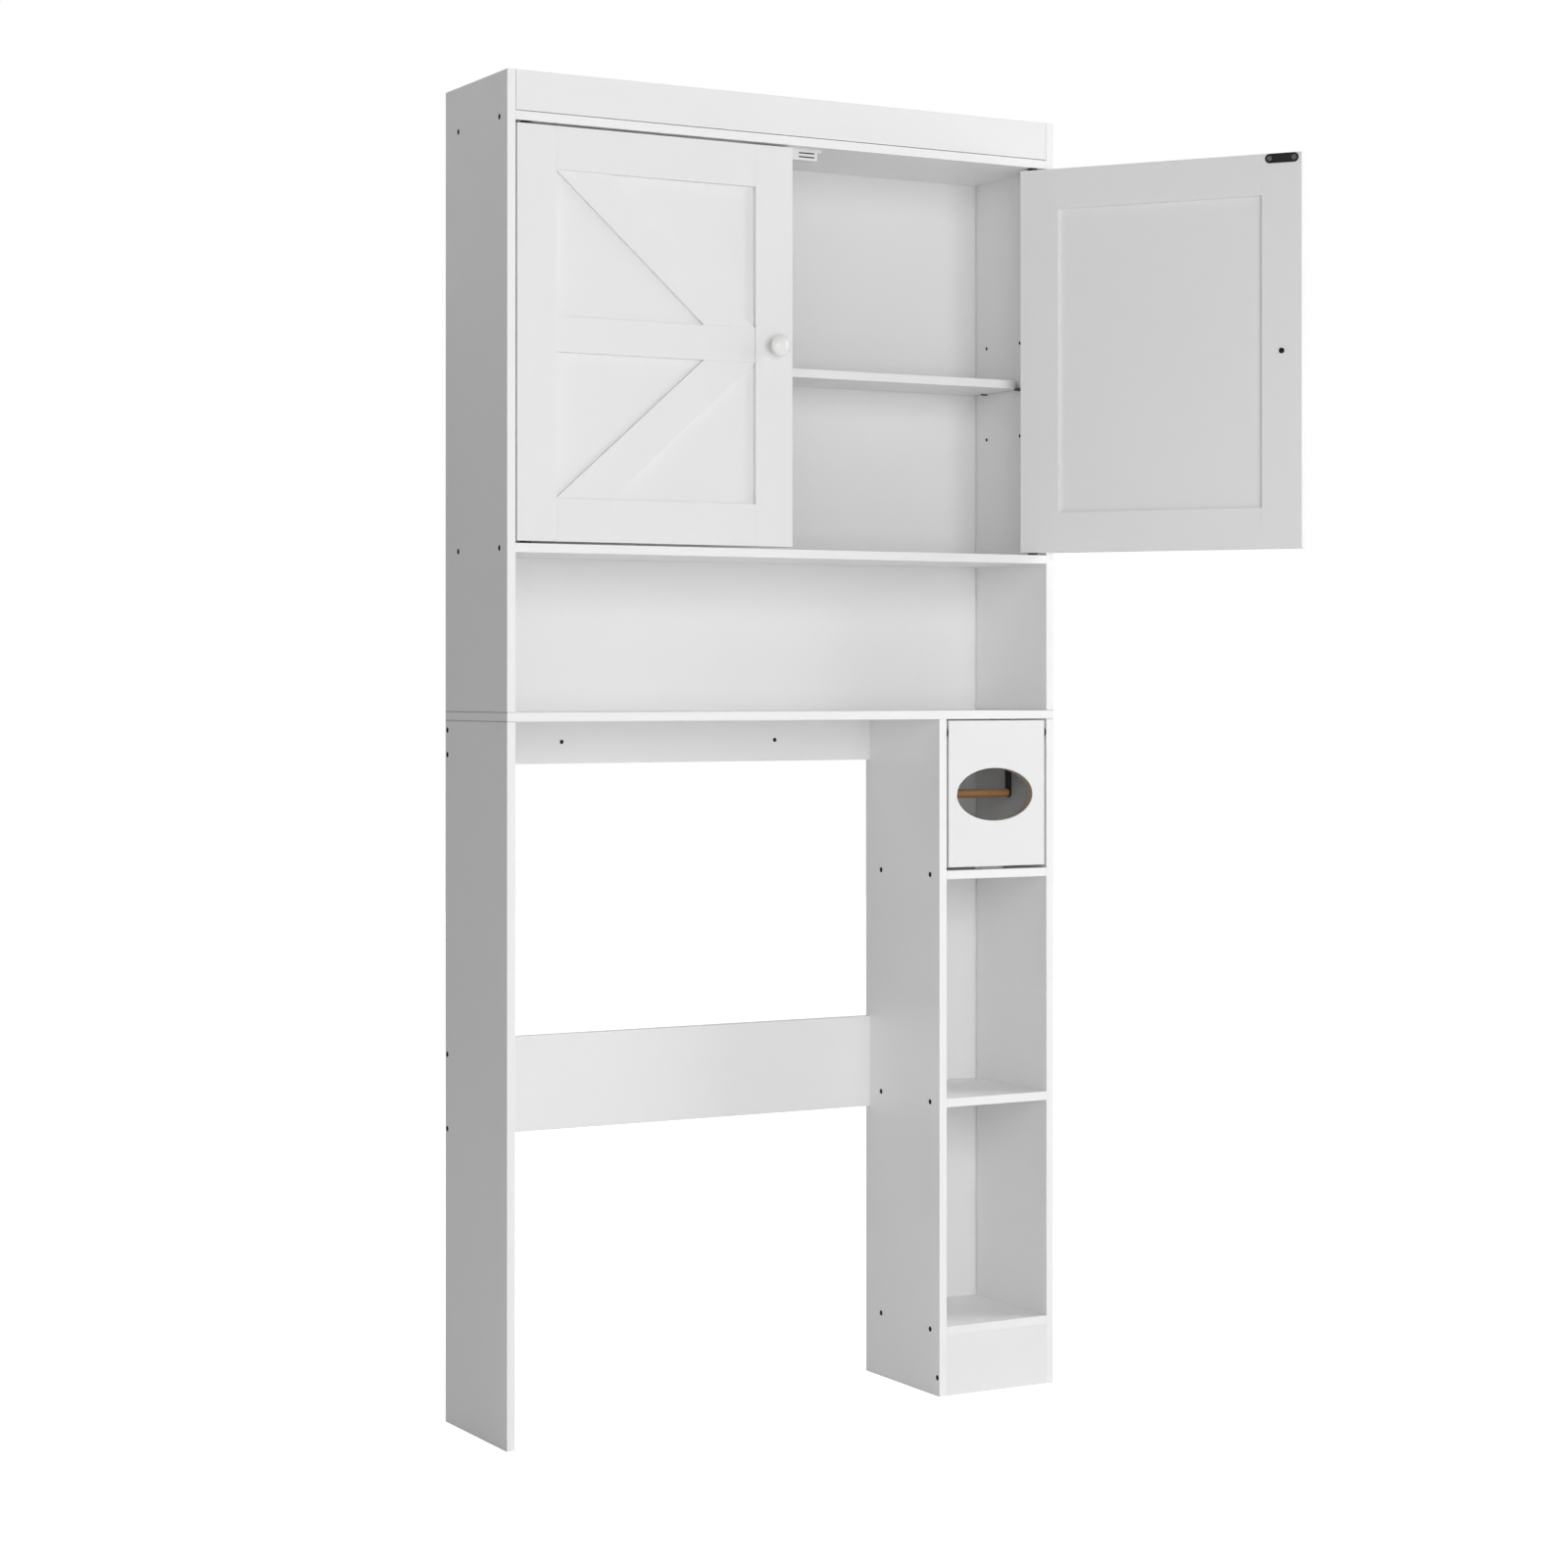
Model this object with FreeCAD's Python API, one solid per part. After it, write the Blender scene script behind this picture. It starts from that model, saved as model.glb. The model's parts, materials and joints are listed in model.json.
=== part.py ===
import FreeCAD, Part
import os

# Over-the-toilet storage rack. All lengths are millimetres.
# X runs to the viewer's right from the left outer side, Y runs back to the wall plane at 0,
# so the front is at -DEPTH, and Z runs up from the floor.

V = FreeCAD.Vector

# Driving dimensions
WIDTH = 850.0
DEPTH = 200.0
HEIGHT = 1790.0
BOARD = 12.0            # thickness of every carcass board
DOOR_T = 15.0           # thickness of the door frames and of the flap
SHEET = 3.0             # thickness of the back sheets and the door panels
EASE = 0.6              # small radius on the painted board edges
FIT = 0.1               # clearance all round glued or screwed hardware

# Heights of the horizontal boards, at their undersides
MIDDLE_Z = 944.0
CABINET_FLOOR_Z = 1164.0
TOP_Z = 1725.0
PAPER_FLOOR_Z = 720.5
TOWER_PITCH = 318.0
MID_SHELF_Z = PAPER_FLOOR_Z - TOWER_PITCH
LOW_SHELF_Z = MID_SHELF_Z - TOWER_PITCH
SHELF_Z = 1417.0

# Places across the width
TOWER_X = 659.0                     # left face of the tower's left side
INNER_L = BOARD
INNER_R = WIDTH - BOARD
TOWER_INNER_L = TOWER_X + BOARD
TOWER_MID = (TOWER_INNER_L + INNER_R) / 2
CENTRE = WIDTH / 2

# Places through the depth
FRONT = -DEPTH
RAIL_T = 12.0
SHEET_FRONT = -RAIL_T - SHEET       # front face of the back sheets
GROOVE_DEPTH = 5.0
GROOVE_PLAY = 0.8                   # open width of a side's groove in front of its sheet
SCREW_FRONT_Y = FRONT + 25.0        # front and rear screws of each shelf
SCREW_REAR_Y = FRONT + 158.0
RAIL_Y = -RAIL_T / 2
KICK_Y = FRONT + BOARD / 2

# Back rails of the toilet bay: lower edge and upper edge
UPPER_RAIL = (884.0, MIDDLE_Z)
LOWER_RAIL = (384.0, 514.0)
UPPER_RAIL_SCREWS_Z = (898.0, 931.0)
LOWER_RAIL_SCREWS_Z = (395.0, 495.0)
ANCHOR_Z = 913.8
ANCHOR_X = (167.0, 501.0)
ANCHOR_R = 3.0
TOWER_SHEET_BOTTOM = 60.0

# Adjustable shelf and its pins
SHELF_END_GAP = 1.5
SHELF_FRONT = FRONT + 62.0
SHELF_CORNER_R = 20.0
PIN_R = 2.5
PIN_PITCH = 66.7
PIN_Y = (FRONT + 68.0, FRONT + 156.0)
PIN_IN = 8.0
PIN_OUT = 9.0

# Cabinet doors
SIDE_GAP = 2.0
CENTRE_GAP = 2.0
BOTTOM_GAP = 3.0
TOP_GAP = 3.5
FRAME_W = 57.0                      # width of the stiles and the end rails
BATTEN_W = 47.0
BRACE_RUN = 78.0                    # width of a brace measured along X
RECESS = 7.0                        # depth of the panel's face behind the door's front
DOOR_EASE = 0.55
BATTEN_SET_BACK = 1.8
TENON = 5.5
TONGUE_DEPTH = 6.0
PIVOT_INSET = 30.0                  # pivot line from the outer side face
RIGHT_DOOR_OPEN = 126.0             # degrees, at rest
STRIKE_FROM_EDGE = 28.0             # strike centre from the door's free edge
KNOB_FROM_EDGE = 28.5               # knob centre from the door's free edge
KNOB_OUT = 25.0                     # how far a knob stands out of the door

# Flap of the paper compartment
FLAP_SIDE_GAP = 3.5
FLAP_Z = (737.0, 942.0)
FLAP_PIVOT_Z = 925.0
OVAL_CENTRE = (751.4, 838.0)
OVAL_HALF = (63.0, 37.0)

# Pivot bushes and pins
PIVOT_PIN_R = 2.5
PIVOT_RUNNING = 0.05
BUSH_R = 4.5
BUSH_DEPTH = 9.0
FLANGE_R = 7.0
FLANGE_T = 2.6
PIN_IN_DOOR = 15.0
PIN_IN_BUSH = 8.0

# Magnetic catches
STRIKE_Z = 1714.5
CATCH_Z = 1716.3
CATCH_UNIT_X = 31.0                 # middle of each door catch unit from the rack's middle
FLAP_CATCH_Z = 741.5
FLAP_STRIKE_H = 7.4
POLE_W = 24.0
POLE_T = 1.4
MAGNET_T = 4.0
MAGNET_DEPTH = 10.0
MAGNET_WEB = 1.0                    # plastic in front of the magnet, between the plates
POLE_PROUD = 0.8
CATCH_GAP = 0.3
CATCH_DEPTH = 16.0
CATCH_EAR = (9.0, 4.0)              # reach beyond the housing, thickness
DOOR_CATCH = (48.0, 16.0)           # half width and height of the housing
FLAP_CATCH = (15.0, 15.0)
STRIKE_T = 1.5
STRIKE_HALF = (23.5, 6.5)           # half length and half height of a door's strike
STRIKE_SCREW_X = 17.3
STRIKE_SPIKE = (1.0, 7.0)           # radius and length of the spikes on the flap's strike
STRIKE_SPIKE_X = 8.0

# Paper roller and its arms
ROLLER_Y = FRONT + 75.0
ROLLER_Z = 837.0
ROLLER_R = 6.0
SPIGOT_R = 3.0
ARM_SPAN = 134.0
ARM_T = 2.0
ARM_W = 14.0
ARM_FLANGE = 30.0
ARM_SCREWS = (9.0, 21.0)            # along the flange, from the arm
ROLLER_END_GAP = 0.3

# Screws and pegs
SIDE_SCREW = (3.8, 2.0, 36.0)       # head radius, shank radius, length
STRIKE_SCREW = (3.5, 1.5, 11.0)
SMALL_SCREW = (3.0, 1.6, 1.5, 11.0)  # head radius, head height, shank radius, length
KNOB_SCREW = (3.8, 2.2, 2.0, 25.0)
HEAD_SINK = 0.2                     # side screws lie this far below the board's face
KICK_SCREW_Z = 26.0
TOWER_TOP_SCREW_Y = (FRONT + 50.0, FRONT + 150.0)
DOWEL_SCREW = (2.5, 64.0)           # radius, length
DOWEL_SCREW_Y = (FRONT + 40.0, FRONT + 160.0)
DOWEL_R = 3.0
FASCIA_SEAM = 0.9                   # open joint between the top panel and the fascia
LONG_DOWEL = 36.0
SHORT_DOWEL = 24.0


def box(x, y, z):
    """A block between three (low, high) pairs."""
    return Part.makeBox(x[1] - x[0], y[1] - y[0], z[1] - z[0], V(x[0], y[0], z[0]))


def eased(shape, radius=EASE):
    """Rounds every edge except those on the floor or on the wall plane."""
    edges = []
    for edge in shape.Edges:
        on_floor = edge.BoundBox.ZMax < 1e-6
        on_wall = edge.BoundBox.YMin > -1e-6
        if not (on_floor or on_wall):
            edges.append(edge)
    return shape.makeFillet(radius, edges)


def board(x, y, z, radius=EASE):
    return eased(box(x, y, z), radius)


def rod(radius, length, start, direction):
    return Part.makeCylinder(radius, length, start, direction)


def broken_ends(pin, size=0.4):
    """Chamfers both ends of a plain pin."""
    return pin.makeChamfer(size, [e for e in pin.Edges if e.Closed])


def turned_to(shape, point, direction):
    """Places a shape made about +Z at the origin so that +Z points along direction."""
    placed = shape.copy()
    placed.Placement = FreeCAD.Placement(point, FreeCAD.Rotation(V(0, 0, 1), direction))
    return placed


def cross_recess(width, depth):
    """The driver recess of a screw whose head faces -Z at z = 0."""
    slot = 0.9
    arms = [(width, slot), (slot, width)]
    return Part.makeCompound([Part.makeBox(a, b, depth, V(-a / 2, -b / 2, 0)) for a, b in arms])


def countersunk(head_r, shank_r, length, grow=0.0):
    """A flat-headed screw with its head's face at z = 0 and its point up +Z."""
    head_h = head_r - shank_r
    head = Part.makeCone(head_r + grow, shank_r + grow, head_h)
    shank = rod(shank_r + grow, length - head_h + 5 * grow, V(0, 0, head_h), V(0, 0, 1))
    return head.fuse(shank).removeSplitter()


def pan_head(head_r, head_h, shank_r, length, grow=0.0):
    """A round-headed screw that seats at z = 0, its head below and its point up +Z."""
    shank = rod(shank_r + grow, length + 5 * grow, V(0, 0, 0), V(0, 0, 1))
    if grow:
        return shank
    head = rod(head_r, head_h, V(0, 0, -head_h), V(0, 0, 1))
    rim = [e for e in head.Edges if e.BoundBox.ZMax < -head_h + 1e-6]
    head = head.makeFillet(head_h * 0.45, rim)
    return head.fuse(shank).removeSplitter()


def knob_recess():
    recess = cross_recess(4.0, 1.2)
    recess.translate(V(0, 0, -KNOB_SCREW[1]))
    return recess


def side_screw(point, direction):
    """A carcass screw, and the hole that it needs."""
    seat = point + direction * HEAD_SINK
    screw = countersunk(*SIDE_SCREW).cut(cross_recess(4.4, 1.4))
    hole = countersunk(*SIDE_SCREW, grow=FIT)
    mouth = rod(SIDE_SCREW[0] + FIT, HEAD_SINK + FIT, V(0, 0, -HEAD_SINK - FIT), V(0, 0, 1))
    return turned_to(screw, seat, direction), turned_to(hole.fuse(mouth), seat, direction)


def strike_screw(point, direction):
    screw = countersunk(*STRIKE_SCREW).cut(cross_recess(4.2, 1.5))
    hole = countersunk(*STRIKE_SCREW, grow=FIT)
    return turned_to(screw, point, direction), turned_to(hole, point, direction)


def small_screw(point, direction):
    head_h = SMALL_SCREW[1]
    recess = cross_recess(3.4, 0.8)
    recess.translate(V(0, 0, -head_h))
    screw = pan_head(*SMALL_SCREW).cut(recess)
    hole = pan_head(*SMALL_SCREW, grow=FIT)
    return turned_to(screw, point, direction), turned_to(hole, point, direction)


def drilled(shape, holes):
    """Cuts every hole that reaches the shape's box out of the shape."""
    for hole in holes:
        if shape.BoundBox.intersect(hole.BoundBox):
            shape = shape.cut(hole)
    return shape


def group(solids):
    """Identical pieces as one node of separate solids."""
    return Part.makeCompound(solids)


def mirrored(shape):
    return shape.mirror(V(CENTRE, 0, 0), V(1, 0, 0))


# Carcass boards

def carcass_boards():
    """Every carcass board before its holes, by name."""
    depth = (FRONT, 0.0)
    inner = (INNER_L, INNER_R)
    tower = (TOWER_INNER_L, INNER_R)
    bay = (INNER_L, TOWER_X)
    shelf_depth = (FRONT, SHEET_FRONT)
    lower = (0.0, MIDDLE_Z)
    upper = (MIDDLE_Z + BOARD, HEIGHT)

    def shelf_z(z):
        return (z, z + BOARD)

    boards = {
        "lower_left_side": board((0, BOARD), depth, lower),
        "lower_right_side": board((INNER_R, WIDTH), depth, lower),
        "tower_left_side": board((TOWER_X, TOWER_INNER_L), depth, lower),
        "middle_board": board((0, WIDTH), depth, shelf_z(MIDDLE_Z)),
        "upper_left_side": board((0, BOARD), depth, upper),
        "upper_right_side": board((INNER_R, WIDTH), depth, upper),
        "cabinet_floor": board(inner, shelf_depth, shelf_z(CABINET_FLOOR_Z)),
        "top_panel": board(inner, depth, shelf_z(TOP_Z)),
        "top_fascia": board(inner, (FRONT, FRONT + BOARD),
                            (TOP_Z + BOARD + FASCIA_SEAM, HEIGHT)),
        "upper_back_rail": board(bay, (-RAIL_T, 0), UPPER_RAIL),
        "lower_back_rail": board(bay, (-RAIL_T, 0), LOWER_RAIL),
        "paper_compartment_floor": board(tower, shelf_depth, shelf_z(PAPER_FLOOR_Z)),
        "tower_middle_shelf": board(tower, shelf_depth, shelf_z(MID_SHELF_Z)),
        "tower_bottom_shelf": board(tower, shelf_depth, shelf_z(LOW_SHELF_Z)),
        "kick_plate": board(tower, (FRONT, FRONT + BOARD), (0, LOW_SHELF_Z)),
    }
    upper_sheet_z = (MIDDLE_Z + BOARD, TOP_Z)
    for side in ("upper_left_side", "upper_right_side"):
        boards[side] = boards[side].cut(sheet_groove(inner, upper_sheet_z))
    tower_sheet_z = (TOWER_SHEET_BOTTOM, MIDDLE_Z)
    for side in ("tower_left_side", "lower_right_side"):
        boards[side] = boards[side].cut(sheet_groove(tower, tower_sheet_z))
    boards["upper_back_panel"] = back_sheet(inner, upper_sheet_z)
    boards["tower_back_panel"] = back_sheet(tower, tower_sheet_z)
    return boards


def sheet_groove(x, z):
    """The groove in both neighbouring sides that a back sheet slides into."""
    return box((x[0] - GROOVE_DEPTH, x[1] + GROOVE_DEPTH),
               (SHEET_FRONT - GROOVE_PLAY, SHEET_FRONT + SHEET + FIT), z)


def back_sheet(x, z):
    reach = GROOVE_DEPTH - 0.5
    return box((x[0] - reach, x[1] + reach), (SHEET_FRONT, SHEET_FRONT + SHEET), z)


def adjustable_shelf():
    shelf = box((INNER_L + SHELF_END_GAP, INNER_R - SHELF_END_GAP),
                (SHELF_FRONT, SHEET_FRONT - 1.0), (SHELF_Z, SHELF_Z + BOARD))
    corners = [e for e in shelf.Edges
               if e.BoundBox.ZLength > BOARD / 2 and e.BoundBox.YMax < SHELF_FRONT + 1e-6]
    shelf = shelf.makeFillet(SHELF_CORNER_R, corners)
    shelf = shelf.makeFillet(EASE, [e for e in shelf.Edges if e.BoundBox.ZLength < 1e-6])
    grooves = [rod(PIN_R + FIT, PIN_OUT + 1.0, V(x, y, SHELF_Z), V(inwards, 0, 0))
               for x, inwards in ((INNER_L, 1), (INNER_R, -1)) for y in PIN_Y]
    return drilled(shelf, grooves)


def shelf_pins():
    """The four pins, half sunk in the shelf, and the three rows of holes that take them."""
    pins, holes = [], []
    for face_x, outwards in ((INNER_L, -1), (INNER_R, 1)):
        for y in PIN_Y:
            for step in (-1, 0, 1):
                start = V(face_x, y, SHELF_Z + step * PIN_PITCH)
                holes.append(rod(PIN_R + FIT, PIN_IN + 0.3, start, V(outwards, 0, 0)))
            start = V(face_x + outwards * PIN_IN, y, SHELF_Z)
            pins.append(broken_ends(rod(PIN_R, PIN_IN + PIN_OUT, start, V(-outwards, 0, 0))))
    return pins, holes


# Carcass fasteners

def carcass_screws():
    """The countersunk screws of the carcass, each paired with its hole."""
    right, left = V(1, 0, 0), V(-1, 0, 0)
    pairs = []
    shelf_y = (SCREW_FRONT_Y, SCREW_REAR_Y)
    for z in (TOP_Z + BOARD / 2, CABINET_FLOOR_Z + BOARD / 2):
        for y in shelf_y:
            pairs.append(side_screw(V(0, y, z), right))
            pairs.append(side_screw(V(WIDTH, y, z), left))
    for z in UPPER_RAIL_SCREWS_Z + LOWER_RAIL_SCREWS_Z:
        pairs.append(side_screw(V(0, RAIL_Y, z), right))
        pairs.append(side_screw(V(TOWER_INNER_L, RAIL_Y, z), left))
    for z in (PAPER_FLOOR_Z, MID_SHELF_Z, LOW_SHELF_Z):
        for y in shelf_y:
            pairs.append(side_screw(V(TOWER_X, y, z + BOARD / 2), right))
            pairs.append(side_screw(V(WIDTH, y, z + BOARD / 2), left))
    pairs.append(side_screw(V(TOWER_X, KICK_Y, KICK_SCREW_Z), right))
    pairs.append(side_screw(V(WIDTH, KICK_Y, KICK_SCREW_Z), left))
    for y in TOWER_TOP_SCREW_Y:
        pairs.append(side_screw(V(TOWER_X + BOARD / 2, y, MIDDLE_Z + BOARD), V(0, 0, -1)))
    return pairs


def pegs(radius, length, starts):
    """Upright pegs of one length, each paired with its hole."""
    up = V(0, 0, 1)
    pairs = []
    for start in starts:
        peg = broken_ends(rod(radius, length, start, up))
        pairs.append((peg, rod(radius + FIT, length + 1.0, start - up * 0.5, up)))
    return pairs


def dowel_screws():
    """Double-ended screws through the middle board into the sides above and below it."""
    radius, length = DOWEL_SCREW
    low_z = MIDDLE_Z + BOARD / 2 - length / 2
    starts = [V(x, y, low_z) for x in (BOARD / 2, WIDTH - BOARD / 2) for y in DOWEL_SCREW_Y]
    return pegs(radius, length, starts)


def wood_dowels():
    """Glued wooden dowels: middle board to sides, fascia to top panel, kick plate to shelf."""
    side_z = MIDDLE_Z + BOARD / 2 - LONG_DOWEL / 2
    fascia_z = TOP_Z + 2.0
    kick_z = LOW_SHELF_Z + 10.0 - SHORT_DOWEL
    side = [V(x, FRONT + DEPTH / 2, side_z) for x in (BOARD / 2, WIDTH - BOARD / 2)]
    fascia = [V(CENTRE + dx, FRONT + BOARD / 2, fascia_z) for dx in (-275, 0, 275)]
    kick = [V(TOWER_MID + dx, KICK_Y, kick_z) for dx in (-55, 55)]
    return pegs(DOWEL_R, LONG_DOWEL, side) + pegs(DOWEL_R, SHORT_DOWEL, fascia + kick)


def anchor_holes():
    return [rod(ANCHOR_R, 3 * RAIL_T, V(x, -2 * RAIL_T, ANCHOR_Z), V(0, 1, 0)) for x in ANCHOR_X]


# Pivots

def pivot_bush(face_point, into_board):
    """A flanged bush let into a board, with the hole that it needs."""
    flange = rod(FLANGE_R, FLANGE_T, face_point - into_board * FLANGE_T, into_board)
    barrel = rod(BUSH_R, BUSH_DEPTH, face_point, into_board)
    bore = rod(PIVOT_PIN_R + PIVOT_RUNNING, FLANGE_T + PIN_IN_BUSH + 0.5,
               face_point - into_board * FLANGE_T, into_board)
    hole = rod(BUSH_R + FIT, BUSH_DEPTH + 0.2, face_point, into_board)
    return flange.fuse(barrel).removeSplitter().cut(bore), hole


def door_pivots():
    """Bushes above and below each cabinet door and at both sides of the flap."""
    up = V(0, 0, 1)
    y = FRONT + DOOR_T / 2
    pairs = []
    for x in (PIVOT_INSET, WIDTH - PIVOT_INSET):
        pairs.append(pivot_bush(V(x, y, TOP_Z), up))
        pairs.append(pivot_bush(V(x, y, CABINET_FLOOR_Z + BOARD), -up))
    pairs.append(pivot_bush(V(TOWER_INNER_L, y, FLAP_PIVOT_Z), V(-1, 0, 0)))
    pairs.append(pivot_bush(V(INNER_R, y, FLAP_PIVOT_Z), V(1, 0, 0)))
    return pairs


def pivot_pin(edge_point, outwards, gap):
    """A steel pin standing out of a door's edge, with the hole that holds it."""
    start = edge_point - outwards * PIN_IN_DOOR
    pin = broken_ends(rod(PIVOT_PIN_R, PIN_IN_DOOR + gap + PIN_IN_BUSH, start, outwards))
    return pin, rod(PIVOT_PIN_R + FIT, PIN_IN_DOOR + 0.5, start - outwards * 0.5, outwards)


# Magnetic catches

def catch_unit(x, face_y, z):
    """Two steel plates proud of face_y, the magnet behind the web between them, the pocket."""
    half_w, half_t = POLE_W / 2, MAGNET_T / 2
    plates = [box((x - half_w, x + half_w), (face_y - POLE_PROUD, face_y + MAGNET_DEPTH),
                  (z + low, z + low + POLE_T)) for low in (half_t, -half_t - POLE_T)]
    magnet = box((x - half_w, x + half_w), (face_y + MAGNET_WEB + FIT, face_y + MAGNET_DEPTH),
                 (z - half_t, z + half_t))
    reach = half_t + POLE_T + FIT
    pocket = box((x - half_w - FIT, x + half_w + FIT),
                 (face_y - 1.0, face_y + MAGNET_DEPTH + FIT), (z - reach, z + reach))
    web = box((x - half_w - FIT, x + half_w + FIT), (face_y - 1.0, face_y + MAGNET_WEB),
              (z - half_t + FIT, z + half_t - FIT))
    return magnet, plates, pocket.cut(web)


def catch(mid_x, unit_xs, face_y, z, seat_z, size, up):
    """A catch whose housing sits on the board face at seat_z; up is +1 or -1, away from it."""
    half_w, height = size
    ear, ear_t = CATCH_EAR
    back_y = face_y + CATCH_DEPTH
    span = sorted((seat_z, seat_z + up * height))
    block = box((mid_x - half_w, mid_x + half_w), (face_y, back_y), span)
    free_edges = [e for e in block.Edges if abs(e.BoundBox.Center.z - seat_z) > 0.1]
    ear_z = sorted((seat_z, seat_z + up * ear_t))
    ears = box((mid_x - half_w - ear, mid_x + half_w + ear), (face_y + 2, back_y - 2), ear_z)
    ears = ears.makeFillet(2.5, [e for e in ears.Edges if e.BoundBox.ZLength > 1])
    housing = block.makeFillet(1.2, free_edges).fuse(ears).removeSplitter()
    magnets, plates, screws = [], [], []
    for x in unit_xs:
        magnet, pair, pocket = catch_unit(x, face_y, z)
        magnets.append(magnet)
        plates += pair
        housing = housing.cut(pocket)
    for side in (-1, 1):
        seat = V(mid_x + side * (half_w + ear / 2), (face_y + back_y) / 2, seat_z + up * ear_t)
        screws.append(small_screw(seat, V(0, 0, -up)))
    housing = drilled(housing, [hole for _, hole in screws])
    return housing, magnets, plates, screws


# Paper roller and its arms

def holder_arm(side):
    """A steel strap hung from the middle board; side is -1 for left and +1 for right."""
    inner_x = TOWER_MID + side * ARM_SPAN / 2
    outer_x = inner_x + side * ARM_T
    flange_x = inner_x - side * (ARM_FLANGE - ARM_T)
    half_w = ARM_W / 2
    y = (ROLLER_Y - half_w, ROLLER_Y + half_w)
    leg = box(sorted((inner_x, outer_x)), y, (ROLLER_Z, MIDDLE_Z))
    eye = rod(half_w, ARM_T, V(min(inner_x, outer_x), ROLLER_Y, ROLLER_Z), V(1, 0, 0))
    flange = box(sorted((flange_x, outer_x)), y, (MIDDLE_Z - ARM_T, MIDDLE_Z))
    arm = leg.fuse([eye, flange]).removeSplitter()
    bend = [e for e in arm.Edges
            if abs(e.BoundBox.Center.x - outer_x) < 1e-6 and e.BoundBox.ZMin > MIDDLE_Z - 1e-6]
    arm = arm.makeFillet(ARM_T * 0.9, bend)
    bore = rod(SPIGOT_R + PIVOT_RUNNING, 3 * ARM_T,
               V(inner_x - ARM_T * 1.5, ROLLER_Y, ROLLER_Z), V(1, 0, 0))
    screws = [small_screw(V(inner_x - side * reach, ROLLER_Y, MIDDLE_Z - ARM_T), V(0, 0, 1))
              for reach in ARM_SCREWS]
    return drilled(arm.cut(bore), [hole for _, hole in screws]), screws


def paper_roller():
    """The turned wooden rod with a spigot at each end."""
    length = ARM_SPAN - 2 * ROLLER_END_GAP
    body = rod(ROLLER_R, length, V(TOWER_MID - length / 2, ROLLER_Y, ROLLER_Z), V(1, 0, 0))
    body = body.makeFillet(1.0, [e for e in body.Edges if e.BoundBox.XLength < 1e-6])
    spigots = ARM_SPAN + 2 * (ARM_T + 2.5)
    pin = rod(SPIGOT_R, spigots, V(TOWER_MID - spigots / 2, ROLLER_Y, ROLLER_Z), V(1, 0, 0))
    return body.fuse(pin).removeSplitter()


# Cabinet doors

def knob(x, z):
    """A turned mushroom knob standing forward from the door's face at (x, z)."""
    def at(point):
        return V(point[0], 0, point[1])

    def line(a, b):
        return Part.LineSegment(at(a), at(b)).toShape()

    def arc(a, b, c):
        return Part.Arc(at(a), at(b), at(c)).toShape()

    # Radius and distance out of the door along the profile
    centre, base, foot = (0, 0), (8.4, 0), (8.4, 1.8)
    neck, under, rim, top = (6.0, 7.8), (12.4, 15.2), (12.8, 21.2), (0, KNOB_OUT)
    rise = KNOB_OUT - rim[1]
    dome_r = (rim[0] ** 2 + rise ** 2) / (2 * rise)
    shoulder = (rim[0] / 2, KNOB_OUT - dome_r + (dome_r ** 2 - rim[0] ** 2 / 4) ** 0.5)
    profile = Part.Wire([
        line(centre, base),
        line(base, foot),
        arc(foot, (6.6, 4.0), neck),
        arc(neck, (7.8, 12.6), under),
        arc(under, (14.5, 18.3), rim),
        arc(rim, shoulder, top),
        line(top, centre),
    ])
    turned = Part.Face(profile).revolve(V(0, 0, 0), V(0, 0, 1), 360)
    thread = rod(KNOB_SCREW[2] + FIT, 11.0, V(0, 0, -0.5), V(0, 0, 1))
    return turned_to(turned.cut(thread), V(x, FRONT, z), V(0, -1, 0))


def strike_plate(x, z):
    """A stadium plate on the door's back, with its two screws and their holes."""
    half_l, half_h = STRIKE_HALF
    y = FRONT + DOOR_T
    middle = box((x - half_l + half_h, x + half_l - half_h), (y, y + STRIKE_T),
                 (z - half_h, z + half_h))
    ends = [rod(half_h, STRIKE_T, V(x + s * (half_l - half_h), y, z), V(0, 1, 0)) for s in (-1, 1)]
    plate = middle.fuse(ends).removeSplitter()
    plate = plate.makeFillet(0.4, [e for e in plate.Edges if e.BoundBox.YMin > y + STRIKE_T - 1e-6])
    screws = [strike_screw(V(x + s * STRIKE_SCREW_X, y + STRIKE_T, z), V(0, -1, 0))
              for s in (-1, 1)]
    return plate, screws


def brace(x0, x1, z0, z1, y):
    """A slanted batten whose upper end starts at (x0, z0) and lower end stops at (x1, z1)."""
    corners = [V(x0, y[0], z0), V(x0 + BRACE_RUN, y[0], z0), V(x1, y[0], z1),
               V(x1 - BRACE_RUN, y[0], z1)]
    face = Part.Face(Part.makePolygon(corners + corners[:1]))
    slab = face.extrude(V(0, y[1] - y[0], 0))
    return slab.makeFillet(DOOR_EASE, [e for e in slab.Edges if e.BoundBox.YMax < y[0] + 1e-6])


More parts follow.
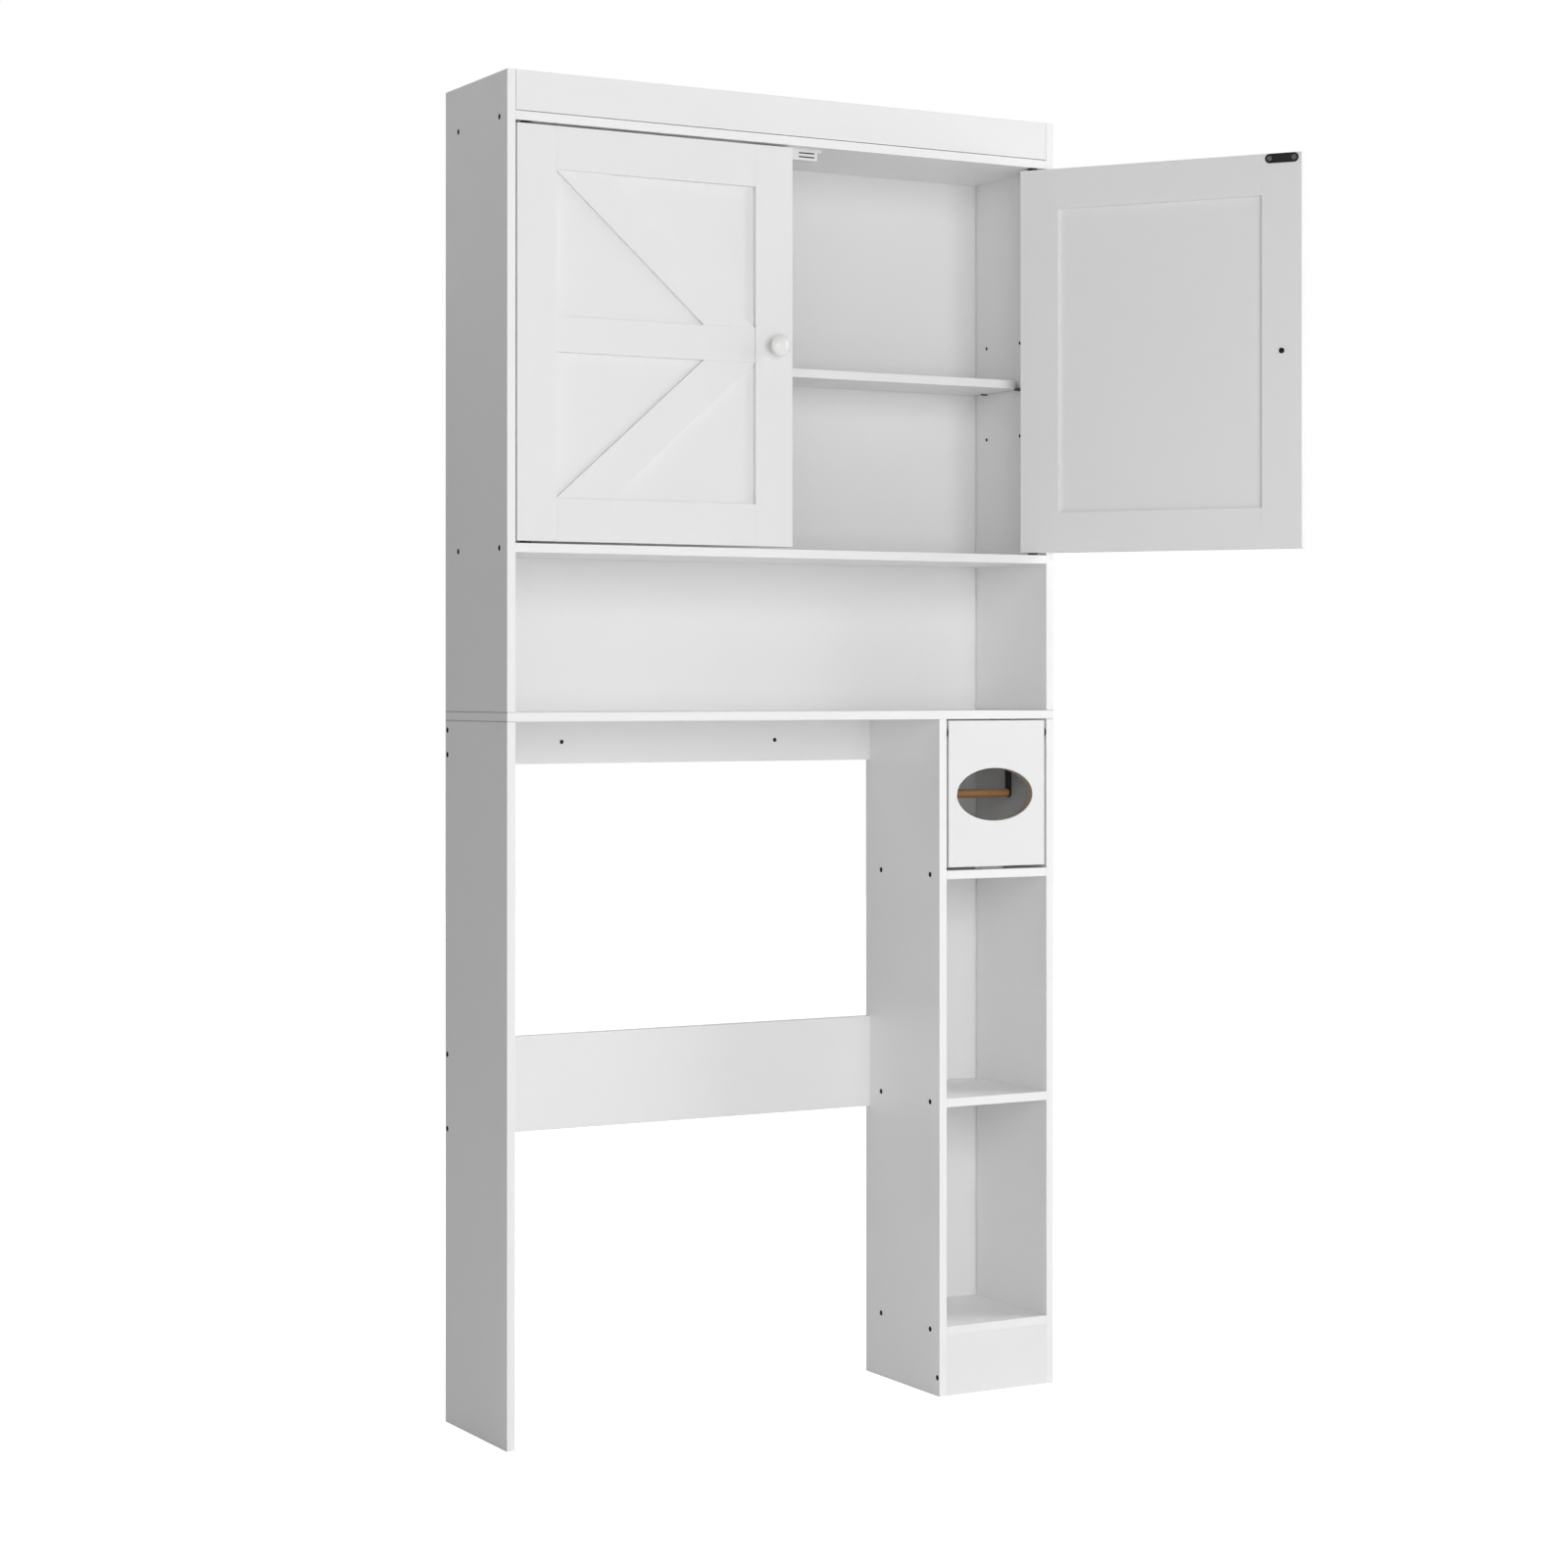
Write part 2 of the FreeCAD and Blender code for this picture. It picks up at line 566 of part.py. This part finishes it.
def left_door():
    """The pieces of the left door, closed, by name without the door's prefix."""
    x = (BOARD + SIDE_GAP, CENTRE - CENTRE_GAP / 2)
    z = (CABINET_FLOOR_Z + BOARD + BOTTOM_GAP, TOP_Z - TOP_GAP)
    y = (FRONT, FRONT + DOOR_T)
    in_x = (x[0] + FRAME_W, x[1] - FRAME_W)
    in_z = (z[0] + FRAME_W, z[1] - FRAME_W)
    mid_z = (in_z[0] + in_z[1]) / 2
    sheet_y = (FRONT + RECESS, FRONT + RECESS + SHEET)
    batten_y = (FRONT + BATTEN_SET_BACK, FRONT + RECESS)
    groove = box((in_x[0] - TONGUE_DEPTH, in_x[1] + TONGUE_DEPTH),
                 (sheet_y[0] - FIT, sheet_y[1] + FIT),
                 (in_z[0] - TONGUE_DEPTH, in_z[1] + TONGUE_DEPTH))
    full_groove = box((in_x[0] - TONGUE_DEPTH, in_x[1] + TONGUE_DEPTH),
                      (sheet_y[0] - FIT, sheet_y[1] + FIT), (z[0] - 1, z[1] + 1))

    pivot = V(PIVOT_INSET, FRONT + DOOR_T / 2, 0)
    top_pin, top_hole = pivot_pin(pivot + V(0, 0, z[1]), V(0, 0, 1), TOP_GAP)
    low_pin, low_hole = pivot_pin(pivot + V(0, 0, z[0]), V(0, 0, -1), BOTTOM_GAP)
    knob_x = x[1] - KNOB_FROM_EDGE
    plate, plate_screws = strike_plate(x[1] - STRIKE_FROM_EDGE, STRIKE_Z)
    knob_screw = turned_to(pan_head(*KNOB_SCREW).cut(knob_recess()), V(knob_x, y[1], mid_z),
                           V(0, -1, 0))
    knob_hole = rod(KNOB_SCREW[2] + 2 * FIT, DOOR_T + 2, V(knob_x, FRONT - 1, mid_z), V(0, 1, 0))
    holes = [top_hole, low_hole, knob_hole] + [hole for _, hole in plate_screws]

    def rail(rail_z):
        bar = board(in_x, y, rail_z, DOOR_EASE).cut(groove)
        tenons = [box(ends, sheet_y, rail_z).cut(groove) for ends in
                  ((in_x[0] - TENON, in_x[0] + 1), (in_x[1] - 1, in_x[1] + TENON))]
        return bar.fuse(tenons).removeSplitter()

    return {
        "hinge_stile": drilled(board((x[0], in_x[0]), y, z, DOOR_EASE).cut(full_groove), holes),
        "free_stile": drilled(board((in_x[1], x[1]), y, z, DOOR_EASE).cut(full_groove), holes),
        "top_rail": rail((in_z[1], z[1])),
        "bottom_rail": rail((z[0], in_z[0])),
        "panel": box((in_x[0] - TENON, in_x[1] + TENON), sheet_y,
                     (in_z[0] - TENON, in_z[1] + TENON)),
        "middle_batten": board(in_x, batten_y, (mid_z - BATTEN_W / 2, mid_z + BATTEN_W / 2),
                               DOOR_EASE),
        "upper_brace": brace(in_x[0], in_x[1], in_z[1], mid_z + BATTEN_W / 2, batten_y),
        "lower_brace": brace(in_x[0], in_x[1], in_z[0], mid_z - BATTEN_W / 2, batten_y),
        "knob": knob(knob_x, mid_z),
        "knob_screw": knob_screw,
        "strike_plate": drilled(plate, [hole for _, hole in plate_screws]),
        "strike_screws": group([screw for screw, _ in plate_screws]),
        "pivot_pins": group([top_pin, low_pin]),
    }


# Flap of the paper compartment

def paper_door():
    """The flap with its oval cut-out, its two pivot pins and its strike."""
    x = (TOWER_INNER_L + FLAP_SIDE_GAP, INNER_R - FLAP_SIDE_GAP)
    y = (FRONT, FRONT + DOOR_T)
    oval = Part.Ellipse(V(0, 0, 0), *OVAL_HALF).toShape()
    cutter = Part.Face(Part.Wire(oval)).extrude(V(0, 0, 3 * DOOR_T))
    cutter.Placement = FreeCAD.Placement(
        V(OVAL_CENTRE[0], FRONT + 2 * DOOR_T, OVAL_CENTRE[1]),
        FreeCAD.Rotation(V(1, 0, 0), 90))
    door = board(x, y, FLAP_Z, DOOR_EASE).cut(cutter)
    rims = [e for e in door.Edges if e.BoundBox.YLength < 1e-3 and e.Closed]
    door = door.makeFillet(1.0, rims)
    pivot = V(0, FRONT + DOOR_T / 2, FLAP_PIVOT_Z)
    pins = [pivot_pin(pivot + V(x[0], 0, 0), V(-1, 0, 0), FLAP_SIDE_GAP),
            pivot_pin(pivot + V(x[1], 0, 0), V(1, 0, 0), FLAP_SIDE_GAP)]
    spike_r, spike_l = STRIKE_SPIKE
    plate = box((TOWER_MID - POLE_W / 2, TOWER_MID + POLE_W / 2), (y[1], y[1] + STRIKE_T),
                (FLAP_CATCH_Z - FLAP_STRIKE_H / 2, FLAP_CATCH_Z + FLAP_STRIKE_H / 2))
    spike_at = [V(TOWER_MID + s * STRIKE_SPIKE_X, y[1] + 0.5, FLAP_CATCH_Z) for s in (-1, 1)]
    forward = V(0, -1, 0)
    strike = plate.fuse([rod(spike_r, spike_l, p, forward) for p in spike_at]).removeSplitter()
    holes = [hole for _, hole in pins]
    holes += [rod(spike_r + FIT, spike_l + 0.5, p, forward) for p in spike_at]
    return drilled(door, holes), [pin for pin, _ in pins], strike


def main():
    boards = carcass_boards()
    boards["adjustable_shelf"] = adjustable_shelf()
    pins, pin_holes = shelf_pins()
    screws, bolts, dowels = carcass_screws(), dowel_screws(), wood_dowels()
    bushes = door_pivots()

    behind_door = FRONT + DOOR_T + STRIKE_T + CATCH_GAP + POLE_PROUD
    unit_xs = (CENTRE - CATCH_UNIT_X, CENTRE + CATCH_UNIT_X)
    door_catch = catch(CENTRE, unit_xs, behind_door, CATCH_Z, TOP_Z, DOOR_CATCH, -1)
    flap_catch = catch(TOWER_MID, (TOWER_MID,), behind_door, FLAP_CATCH_Z,
                       PAPER_FLOOR_Z + BOARD, FLAP_CATCH, 1)
    arms = {"left": holder_arm(-1), "right": holder_arm(1)}
    small = door_catch[3] + flap_catch[3] + arms["left"][1] + arms["right"][1]

    holes = pin_holes + anchor_holes()
    for pairs in (screws, bolts, dowels, bushes, small):
        holes += [hole for _, hole in pairs]
    parts = {name: drilled(shape, holes) for name, shape in boards.items()}

    parts["shelf_pins"] = group(pins)
    parts["carcass_screws"] = group([screw for screw, _ in screws])
    parts["dowel_screws"] = group([bolt for bolt, _ in bolts])
    parts["wood_dowels"] = group([peg for peg, _ in dowels])
    parts["pivot_bushes"] = group([bush for bush, _ in bushes])
    parts["door_catch_housing"] = door_catch[0]
    parts["paper_catch_housing"] = flap_catch[0]
    parts["catch_magnets"] = group(door_catch[1] + flap_catch[1])
    parts["catch_pole_plates"] = group(door_catch[2] + flap_catch[2])
    parts["small_screws"] = group([screw for screw, _ in small])
    parts["holder_arm_left"] = arms["left"][0]
    parts["holder_arm_right"] = arms["right"][0]
    parts["paper_roller"] = paper_roller()

    door, door_pins, strike = paper_door()
    parts["paper_door"] = door
    parts["paper_door_pivot_pins"] = group(door_pins)
    parts["paper_door_strike"] = strike

    pivot = V(WIDTH - PIVOT_INSET, FRONT + DOOR_T / 2, 0)
    for name, shape in left_door().items():
        parts["left_door_" + name] = shape
        other = mirrored(shape)
        other.rotate(pivot, V(0, 0, 1), RIGHT_DOOR_OPEN)
        parts["right_door_" + name] = other

    os.makedirs("parts", exist_ok=True)
    for name, shape in parts.items():
        shape.exportStep(os.path.join("parts", name + ".step"))
    print(len(parts), "nodes")


main()
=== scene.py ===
import json
import math

import bpy
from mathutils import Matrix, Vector


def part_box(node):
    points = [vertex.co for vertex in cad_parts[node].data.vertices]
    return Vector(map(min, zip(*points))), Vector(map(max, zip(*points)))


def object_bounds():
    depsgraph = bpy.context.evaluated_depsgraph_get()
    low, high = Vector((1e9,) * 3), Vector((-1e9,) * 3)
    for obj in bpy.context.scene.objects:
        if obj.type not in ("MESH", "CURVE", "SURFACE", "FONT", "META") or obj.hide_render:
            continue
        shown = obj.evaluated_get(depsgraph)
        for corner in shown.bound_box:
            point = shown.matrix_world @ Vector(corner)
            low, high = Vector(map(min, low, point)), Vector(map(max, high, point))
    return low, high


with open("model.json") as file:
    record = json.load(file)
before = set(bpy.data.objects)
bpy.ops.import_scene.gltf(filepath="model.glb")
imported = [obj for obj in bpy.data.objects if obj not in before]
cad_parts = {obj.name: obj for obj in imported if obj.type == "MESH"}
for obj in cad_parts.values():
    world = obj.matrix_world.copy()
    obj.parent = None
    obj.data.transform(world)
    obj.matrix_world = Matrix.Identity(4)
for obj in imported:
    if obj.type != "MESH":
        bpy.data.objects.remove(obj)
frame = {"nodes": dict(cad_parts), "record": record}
cad_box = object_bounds()
nodes = frame["nodes"]

# Materials ----------------------------------------------------------------------------------

# The Mix node repeats its socket names for each data type, so its colours go by number.
MIX_SHARE, MIX_FIRST, MIX_SECOND, MIX_COLOR = 0, 6, 7, 2

PEEL_HEIGHT = 0.00004     # metres, the orange peel that a paint roller leaves
GRAIN_HEIGHT = 0.00001    # metres, the finer grain on top of it


class Finish:
    """A Principled material whose procedural nodes read the object's own coordinates."""

    def __init__(self, name, color, roughness, **sockets):
        self.material = bpy.data.materials.new(name)
        self.material.use_nodes = True
        self.tree = self.material.node_tree
        self.shader = self.tree.nodes["Principled BSDF"]
        self.set("Base Color", (*color, 1.0))
        self.set("Roughness", roughness)
        for key, value in sockets.items():
            self.set(key.replace("_", " "), value)
        self.place = self.add("ShaderNodeTexCoord").outputs["Object"]

    def set(self, socket, value):
        """Sets or links one of the shader's inputs."""
        self._feed(self.shader.inputs[socket], value)

    def _feed(self, target, value):
        if isinstance(value, bpy.types.NodeSocket):
            self.tree.links.new(value, target)
        else:
            target.default_value = value

    def add(self, kind, inputs=(), **settings):
        """Makes a node, with its inputs set or linked and its settings set."""
        made = self.tree.nodes.new(kind)
        for key, value in settings.items():
            setattr(made, key, value)
        for key, value in dict(inputs).items():
            self._feed(made.inputs[key], value)
        return made

    def noise(self, scale, detail=2.0, rough=0.5, stretch=None, distortion=0.0):
        """Noise with scale cycles per metre; stretch scales the axes first."""
        vector = self.place
        if stretch:
            vector = self.add("ShaderNodeMapping", {"Vector": vector, "Scale": stretch}).outputs[0]
        return self.add("ShaderNodeTexNoise", {
            "Vector": vector, "Scale": scale, "Detail": detail, "Roughness": rough,
            "Distortion": distortion}).outputs["Fac"]

    def ramp(self, value, low, high, to_low, to_high):
        return self.add("ShaderNodeMapRange", {
            "Value": value, "From Min": low, "From Max": high, "To Min": to_low,
            "To Max": to_high}).outputs["Result"]

    def calculate(self, operation, a, b):
        return self.add("ShaderNodeMath", {0: a, 1: b}, operation=operation).outputs[0]

    def mix(self, share, first, second):
        """Mixes two colours, each a tuple or a socket."""
        def rgba(value):
            return value if isinstance(value, bpy.types.NodeSocket) else (*value, 1.0)
        return self.add("ShaderNodeMix", {
            MIX_SHARE: share, MIX_FIRST: rgba(first), MIX_SECOND: rgba(second)},
            data_type="RGBA").outputs[MIX_COLOR]

    def bump(self, height, distance, normal=None):
        """Normals of a surface that height, from 0 to 1, raises by up to distance metres."""
        inputs = {"Height": height, "Distance": distance}
        if normal:
            inputs["Normal"] = normal
        return self.add("ShaderNodeBump", inputs).outputs["Normal"]


def grey(level):
    return (level, level, level)


def shade(color, by):
    return tuple(c * by for c in color)


def painted(name, color, roughness, peel=1.0, **sockets):
    """White paint on board: faint clouding, roller peel and a few rubbed spots."""
    f = Finish(name, color, roughness, **sockets)
    cloud = f.ramp(f.noise(2.6, 3.0), 0.35, 0.65, 0.0, 1.0)
    mottle = f.ramp(f.noise(190.0, 3.0, 0.6), 0.3, 0.7, 0.0, 1.0)
    base = f.mix(cloud, shade(color, 0.975), color)
    f.set("Base Color", f.mix(f.calculate("MULTIPLY", mottle, 0.5), base, shade(color, 0.985)))
    rubbed = f.ramp(f.noise(22.0, 4.0, 0.6), 0.3, 0.7, -0.06, 0.06)
    f.set("Roughness", f.calculate("ADD", rubbed, roughness))
    coarse = f.bump(f.noise(420.0, 2.0, 0.55), PEEL_HEIGHT * peel)
    f.set("Normal", f.bump(f.noise(2600.0, 1.0), GRAIN_HEIGHT * peel, normal=coarse))
    return f.material


def raw_board(name, color):
    """Cut fibreboard: short brown fibres and open pores."""
    f = Finish(name, color, 0.9)
    fibre = f.noise(1500.0, 4.0, 0.7, stretch=(1.0, 1.0, 0.35))
    pores = f.ramp(f.noise(3800.0, 2.0), 0.55, 0.75, 0.0, 1.0)
    base = f.mix(fibre, shade(color, 0.7), shade(color, 1.25))
    f.set("Base Color", f.mix(pores, base, shade(color, 0.45)))
    f.set("Normal", f.bump(fibre, 0.0003))
    return f.material


def metal(name, color, roughness, metallic, wear=0.0, grain=900.0):
    """Coated or bare metal: fine scratches, uneven tone and, with wear, rubbed patches."""
    f = Finish(name, color, roughness, Metallic=metallic)
    scratch = f.noise(grain, 3.0, 0.65)
    f.set("Roughness", f.ramp(scratch, 0.3, 0.7, roughness * 0.75, min(1.0, roughness * 1.3)))
    tone = f.mix(f.noise(240.0, 2.0), shade(color, 0.82), color)
    if wear:
        rubbed = f.ramp(f.noise(620.0, 5.0, 0.7), 0.66 - wear, 0.78, 0.0, 1.0)
        tone = f.mix(rubbed, tone, grey(0.5))
    f.set("Base Color", tone)
    f.set("Normal", f.bump(scratch, 0.00003))
    return f.material


def plastic(name, color, roughness):
    """Moulded plastic with a faint grain."""
    f = Finish(name, color, roughness)
    grain = f.noise(1400.0, 2.0)
    f.set("Roughness", f.ramp(grain, 0.3, 0.7, roughness - 0.07, roughness + 0.07))
    f.set("Base Color", f.mix(f.noise(90.0, 2.0), shade(color, 0.93), color))
    f.set("Normal", f.bump(grain, 0.00004))
    return f.material


def timber(name, light, dark):
    """Turned beech: grain along X with short dark flecks."""
    f = Finish(name, light, 0.55)
    grain = f.noise(420.0, 4.0, 0.6, stretch=(0.07, 1.0, 1.0), distortion=0.6)
    fleck = f.ramp(f.noise(900.0, 1.0, stretch=(0.16, 1.0, 1.0)), 0.66, 0.72, 0.0, 0.6)
    f.set("Base Color", f.mix(fleck, f.mix(grain, dark, light), shade(dark, 0.6)))
    f.set("Roughness", f.ramp(grain, 0.3, 0.7, 0.62, 0.48))
    f.set("Normal", f.bump(grain, 0.00008))
    return f.material


WHITE = grey(0.912)
FINISHES = {
    "white_board": painted("WhiteBoard", WHITE, 0.46),
    "white_sheet": painted("WhiteSheet", shade(WHITE, 0.985), 0.52, peel=1.4),
    "door_paint": painted("DoorPaint", grey(0.89), 0.42),
    "door_sheet": painted("DoorSheet", grey(0.885), 0.46, peel=1.3),
    "knob_paint": painted("KnobPaint", (0.90, 0.895, 0.885), 0.26, peel=0.3, Coat_Weight=0.25,
                          Coat_Roughness=0.16),
    "black_plate": metal("BlackPlate", (0.009, 0.009, 0.010), 0.42, 0.0),
    "black_enamel": metal("BlackEnamel", (0.012, 0.011, 0.011), 0.38, 0.0),
    "dark_steel": metal("DarkSteel", grey(0.009), 0.55, 0.2, wear=0.01),
    "bright_steel": metal("BrightSteel", (0.66, 0.65, 0.63), 0.24, 1.0),
    "pole_steel": metal("PoleSteel", grey(0.02), 0.45, 0.5, wear=0.02),
    "ferrite": metal("Ferrite", (0.06, 0.06, 0.062), 0.7, 0.1),
    "black_plastic": plastic("BlackPlastic", (0.007, 0.007, 0.008), 0.5),
    "white_plastic": plastic("WhitePlastic", (0.82, 0.82, 0.81), 0.34),
    "beech": timber("Beech", (0.56, 0.31, 0.14), (0.36, 0.17, 0.065)),
}
RAW = raw_board("CutBoard", (0.13, 0.093, 0.062))
RIM = raw_board("CutRim", (0.50, 0.41, 0.34))
# Dark grey for the rounded edges of the carcass joints: painted shade standing in for the shadow
# in the gaps between the boards.
SHADE_IN_JOINTS = painted("JointShadeLine", grey(0.38), 0.7)
EDGE = painted("EdgeBand", grey(0.965), 0.4)
DULL_PIN = metal("DullPin", (0.16, 0.155, 0.15), 0.45, 0.8)
SCREW_HEAD = metal("PlatedScrew", (0.32, 0.315, 0.31), 0.28, 1.0, grain=1800.0)

# Faces with a second material ---------------------------------------------------------------

CUT_MARGIN = 0.0009       # faces deeper in a board than this line its holes and grooves
RIM_MARGIN = 0.0012       # the same in the paper door, clear of the oval's rounded rims
EDGE_DEPTH = 0.0006       # how far back from a board's front its edge band reaches
FACING_FRONT = -0.6       # a normal whose y is less than this faces the front
FLAT_NORMAL = 0.985       # a normal with a larger part along one axis is a flat face's
SIDE_REACH = 0.0005       # how far a side's painted shade line in the joint reaches past the side's inner face
SHADE_LINE_HALF_WIDTH = 0.0007      # half the width of a painted shade line in a joint
FASCIA_SKIN = 0.001       # how far back the painted shade lines at the fascia's ends reach

middle_low, middle_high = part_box("middle_board")
fascia_low, fascia_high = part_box("top_fascia")
LEFT_INNER, RIGHT_INNER = fascia_low.x, fascia_high.x    # the inner faces of the outer sides
JOINED = ("lower_left_side", "lower_right_side", "upper_left_side", "upper_right_side",
          "middle_board", "top_fascia")
FLAT_FRONTS = ("top_fascia", "kick_plate", "upper_back_rail", "lower_back_rail")


def second_material(node, material, chosen):
    """Gives the faces that chosen(centre, normal) picks another material; no vertex moves."""
    node.data.materials.append(material)
    slot = len(node.data.materials) - 1
    for face in node.data.polygons:
        if chosen(face.center, face.normal):
            face.material_index = slot


def inside(low, high, margin):
    """Picks faces that lie deeper than margin below every side of a board's box."""
    def chosen(centre, normal):
        return all(low[i] + margin < centre[i] < high[i] - margin for i in range(3))
    return chosen


def on_front(front):
    """Picks the front edge of a board that starts at y = front."""
    def chosen(centre, normal):
        return normal.y < FACING_FRONT and centre.y < front + EDGE_DEPTH
    return chosen


def in_shaded_joint(centre, normal):
    """Picks the rounded edges along the open joints between the carcass boards, which get a dark
    grey as painted shade in the gaps.
    """
    if max(abs(c) for c in normal) > FLAT_NORMAL:
        return False
    at_side = centre.x < LEFT_INNER + SIDE_REACH or centre.x > RIGHT_INNER - SIDE_REACH
    level = min(abs(centre.z - z) for z in (middle_low.z, middle_high.z)) < SHADE_LINE_HALF_WIDTH
    beside = min(abs(centre.x - x) for x in (LEFT_INNER, RIGHT_INNER)) < SHADE_LINE_HALF_WIDTH
    on_skin = centre.z > fascia_low.z and centre.y < fascia_low.y + FASCIA_SKIN
    return (at_side and level) or (beside and on_skin)


for entry in frame["record"]["subparts"]:
    name = entry["node"]
    node = nodes[name]
    finish = FINISHES[entry["material_slot"]]
    if name == "shelf_pins":
        finish = DULL_PIN
    if name.endswith("strike_screws"):
        finish = SCREW_HEAD
    node.data.materials.clear()
    node.data.materials.append(finish)
    low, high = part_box(name)
    if name == "paper_door":
        second_material(node, RIM, inside(low, high, RIM_MARGIN))
    if entry["material_slot"] == "white_board":
        if name != "adjustable_shelf":
            second_material(node, RAW, inside(low, high, CUT_MARGIN))
        if name not in FLAT_FRONTS:
            second_material(node, EDGE, on_front(low.y))
    # Painted shade: the rounded edges along the carcass joints get the dark grey.
    if name in JOINED:
        second_material(node, SHADE_IN_JOINTS, in_shaded_joint)

# Stage --------------------------------------------------------------------------------------

FLOOR_REACH = 9.0         # metres from the origin to the floor's edges
FLOOR_GLOW = 0.95         # light for the camera alone, which makes the floor look white
WORLD_LIGHT = 0.26        # strength of the world as a light
WORLD_SEEN = 1.0          # strength of the world as the camera sees it
WHITE_LIGHT = (1, 1, 1, 1)

scene = bpy.context.scene
scene.view_settings.view_transform = "Standard"

floor_mesh = bpy.data.meshes.new("Floor")
floor_mesh.from_pydata([(-FLOOR_REACH, -FLOOR_REACH, 0), (FLOOR_REACH, -FLOOR_REACH, 0),
                        (FLOOR_REACH, FLOOR_REACH, 0), (-FLOOR_REACH, FLOOR_REACH, 0)],
                       [], [(0, 1, 2, 3)])
floor = bpy.data.objects.new("Floor", floor_mesh)
scene.collection.objects.link(floor)
floor_finish = Finish("PaleFloor", grey(0.8), 0.9, Emission_Color=WHITE_LIGHT)
seen_by_camera = floor_finish.add("ShaderNodeLightPath").outputs["Is Camera Ray"]
floor_finish.set("Emission Strength",
                 floor_finish.calculate("MULTIPLY", seen_by_camera, FLOOR_GLOW))
floor_mesh.materials.append(floor_finish.material)

world = bpy.data.worlds.new("Studio")
scene.world = world
world.use_nodes = True
backdrop = world.node_tree
lit = backdrop.nodes["Background"]
seen = backdrop.nodes.new("ShaderNodeBackground")
for background, strength in ((lit, WORLD_LIGHT), (seen, WORLD_SEEN)):
    background.inputs["Color"].default_value = WHITE_LIGHT
    background.inputs["Strength"].default_value = strength
choose = backdrop.nodes.new("ShaderNodeMixShader")
path = backdrop.nodes.new("ShaderNodeLightPath")
backdrop.links.new(path.outputs["Is Camera Ray"], choose.inputs[0])
backdrop.links.new(lit.outputs[0], choose.inputs[1])
backdrop.links.new(seen.outputs[0], choose.inputs[2])
backdrop.links.new(choose.outputs[0], backdrop.nodes["World Output"].inputs["Surface"])

# Lights -------------------------------------------------------------------------------------

MIDDLE = (cad_box[0] + cad_box[1]) / 2


def soft_box(name, place, size, watts):
    """A rectangular light that faces the middle of the rack and stays out of the picture."""
    light = bpy.data.lights.new(name, "AREA")
    light.shape = "RECTANGLE"
    light.size, light.size_y = size
    light.energy = watts
    lamp = bpy.data.objects.new(name, light)
    lamp.location = place
    lamp.rotation_euler = (MIDDLE - Vector(place)).to_track_quat("-Z", "Y").to_euler()
    lamp.visible_camera = False
    scene.collection.objects.link(lamp)


soft_box("FrontSoftBox", (0.0, -4.2, 1.5), (2.6, 2.6), 66)
soft_box("LeftSoftBox", (-2.6, -3.4, 1.6), (2.0, 2.0), 13)
soft_box("BackSoftBox", (0.4, 3.0, 2.6), (2.6, 1.6), 38)
soft_box("RightSoftBox", (3.6, -1.4, 2.0), (2.0, 2.0), 59)

# Camera, solved from the straight edges of the rack in the photograph -----------------------

LENS_MM, SENSOR_MM = 74.09, 36.0
SHIFT_Y = -0.0684
EYE = (-1.73035, -4.01522, 0.99146)
TILT_DEG, TURN_DEG = 90.15, -29.30
CLIP_END = 60.0

camera_data = bpy.data.cameras.new("Camera")
camera_data.lens = LENS_MM
camera_data.sensor_width = SENSOR_MM
camera_data.shift_y = SHIFT_Y
camera_data.clip_end = CLIP_END
camera = bpy.data.objects.new("Camera", camera_data)
camera.location = EYE
camera.rotation_euler = (math.radians(TILT_DEG), 0.0, math.radians(TURN_DEG))
scene.collection.objects.link(camera)
scene.camera = camera
